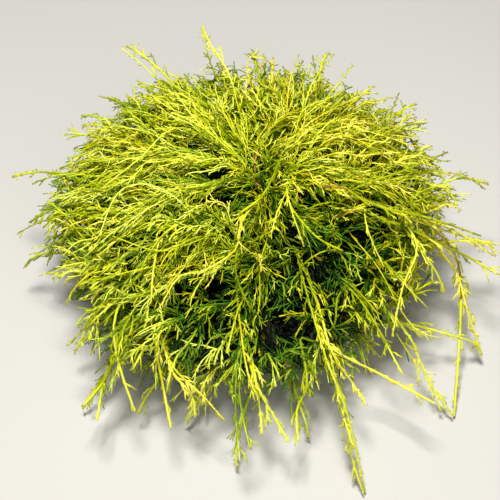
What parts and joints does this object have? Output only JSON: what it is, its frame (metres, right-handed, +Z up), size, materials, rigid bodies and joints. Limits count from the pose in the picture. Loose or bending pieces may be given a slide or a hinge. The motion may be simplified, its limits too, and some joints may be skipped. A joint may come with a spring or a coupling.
{
  "type": "gold mop sawara cypress",
  "caption": "Low mounded evergreen shrub: a short tapering trunk with whorls of boughs that carry dense masses of drooping golden thread-like cords down to the ground.",
  "frame": {"origin": "centre of the flat cut under the trunk, at ground level", "axes": "+Z up, -Y towards the side that the picture shows, +X to that side's right"},
  "size_m": [0.4997, 0.4508, 0.2657],
  "materials": {
    "bark": "rough, finely ridged red-brown bark",
    "foliage": "matt scale leaves on thin cords, golden at the tips and green within"
  },
  "bodies": {
    "root": {"trunk": "bark", "bough_shoulder_back": "bark", "bough_shoulder_back_left": "bark", "bough_shoulder_back_right": "bark", "bough_shoulder_front": "bark", "bough_shoulder_front_left": "bark", "bough_shoulder_front_right": "bark", "bough_shoulder_left": "bark", "bough_shoulder_left_back": "bark", "bough_shoulder_left_front": "bark", "bough_shoulder_right": "bark", "bough_shoulder_right_back": "bark", "bough_shoulder_right_front": "bark", "bough_skirt_back_left": "bark", "bough_skirt_back_right": "bark", "bough_skirt_front_left": "bark", "bough_skirt_front_right": "bark", "bough_skirt_left": "bark", "bough_skirt_left_back": "bark", "bough_skirt_left_front": "bark", "bough_skirt_right": "bark", "bough_skirt_right_back": "bark", "bough_skirt_right_front": "bark", "bough_upper_back": "bark", "bough_upper_back_right": "bark", "bough_upper_front": "bark", "bough_upper_front_left": "bark", "bough_upper_front_right": "bark", "bough_upper_left": "bark", "bough_upper_right": "bark", "foliage_crown": "foliage", "foliage_shoulder_back": "foliage", "foliage_shoulder_back_left": "foliage", "foliage_shoulder_back_right": "foliage", "foliage_shoulder_front": "foliage", "foliage_shoulder_front_left": "foliage", "foliage_shoulder_front_right": "foliage", "foliage_shoulder_left": "foliage", "foliage_shoulder_left_back": "foliage", "foliage_shoulder_left_front": "foliage", "foliage_shoulder_right": "foliage", "foliage_shoulder_right_back": "foliage", "foliage_shoulder_right_front": "foliage", "foliage_skirt_back_left": "foliage", "foliage_skirt_back_right": "foliage", "foliage_skirt_front_left": "foliage", "foliage_skirt_front_right": "foliage", "foliage_skirt_left": "foliage", "foliage_skirt_left_back": "foliage", "foliage_skirt_left_front": "foliage", "foliage_skirt_right": "foliage", "foliage_skirt_right_back": "foliage", "foliage_skirt_right_front": "foliage", "foliage_upper_back": "foliage", "foliage_upper_back_right": "foliage", "foliage_upper_front": "foliage", "foliage_upper_front_left": "foliage", "foliage_upper_front_right": "foliage", "foliage_upper_left": "foliage", "foliage_upper_right": "foliage"}
  },
  "joints": []
}
